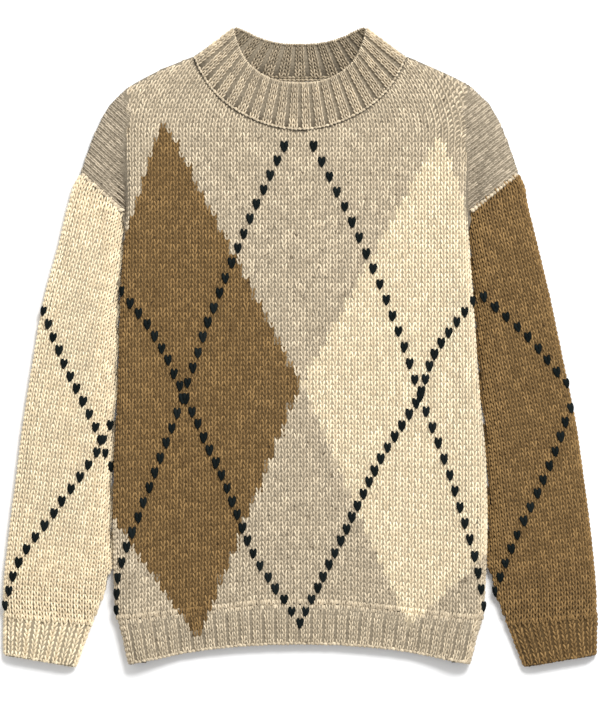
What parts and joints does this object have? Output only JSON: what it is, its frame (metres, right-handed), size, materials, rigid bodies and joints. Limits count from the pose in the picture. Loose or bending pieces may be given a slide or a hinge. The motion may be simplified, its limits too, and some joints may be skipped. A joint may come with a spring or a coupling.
{
  "type": "sweater",
  "caption": "Chunky knitted crew-neck sweater with long sleeves, argyle diamonds and ribbed hem, cuffs and neckband, laid flat on its back.",
  "frame": {"origin": "centre of the garment's bounding box, on the surface it lies on", "axes": "+Y from hem to neck, +Z out of the front, +X towards the right in the picture, the wearer's left"},
  "size_m": [0.6239, 0.673, 0.019],
  "materials": {
    "oatmeal_wool": "matt",
    "cream_wool": "matt",
    "brown_wool": "matt"
  },
  "bodies": {
    "root": {"front_panel": "oatmeal_wool", "back_panel": "oatmeal_wool", "hem_rib_front": "oatmeal_wool", "hem_rib_back": "oatmeal_wool", "neckband": "oatmeal_wool", "sleeve_left": "cream_wool", "cuff_left": "cream_wool", "sleeve_right": "brown_wool", "cuff_right": "brown_wool"}
  },
  "joints": []
}
